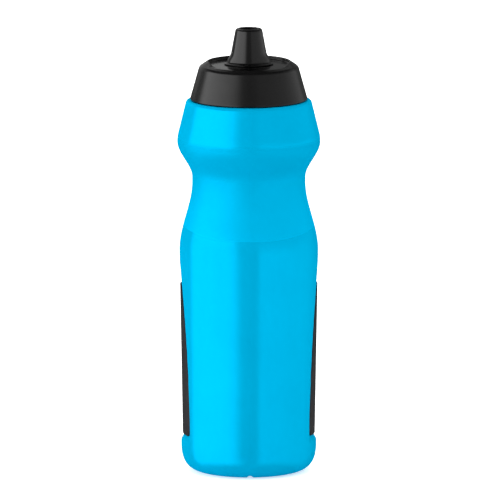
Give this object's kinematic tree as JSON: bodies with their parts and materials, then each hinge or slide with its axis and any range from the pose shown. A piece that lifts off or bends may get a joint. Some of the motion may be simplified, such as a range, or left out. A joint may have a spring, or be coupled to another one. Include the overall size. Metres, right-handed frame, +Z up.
{
  "type": "sports squeeze bottle",
  "caption": "Waisted squeeze bottle with side grips, a screw lid and a push-pull drinking spout.",
  "frame": {"origin": "centre of the base, on the plane that the foot ring stands on", "axes": "+Z up along the bottle's height, front towards -Y, the grips at -X and +X"},
  "size_m": [0.073, 0.073, 0.228],
  "materials": {
    "body": "satin blow-moulded polyethylene, cyan blue, opaque",
    "grip": "matt soft-touch rubber, black",
    "lid": "satin injection-moulded polypropylene, black",
    "valve": "smooth injection-moulded polypropylene, black",
    "spout": "satin injection-moulded polypropylene, black",
    "washer": "translucent white silicone",
    "seal": "black nitrile"
  },
  "bodies": {
    "bottle": {"bottle_body": "body", "grip_left": "grip", "grip_right": "grip"},
    "washer": {"lid_gasket": "washer"},
    "lid": {"lid_shell": "lid", "valve_insert": "valve", "spout_seal": "seal"},
    "spout": {"spout": "spout"}
  },
  "joints": [
    {"name": "lid_lift", "type": "slide", "parent": "bottle", "child": "washer", "axis": [0, 0, 1], "range_m": [0, 0.0181]},
    {"name": "lid_turn", "type": "hinge", "parent": "washer", "child": "lid", "pos_m": [0, 0, 0.1988], "axis": [0, 0, 1], "range_deg": [0, 1440]},
    {"name": "spout_pull", "type": "slide", "parent": "lid", "child": "spout", "axis": [0, 0, 1], "range_m": [0, 0.006]}
  ],
  "couplings": [
    {"joint": "lid_lift", "follows": "lid_turn", "m_per_rad": 0.0007162}
  ]
}
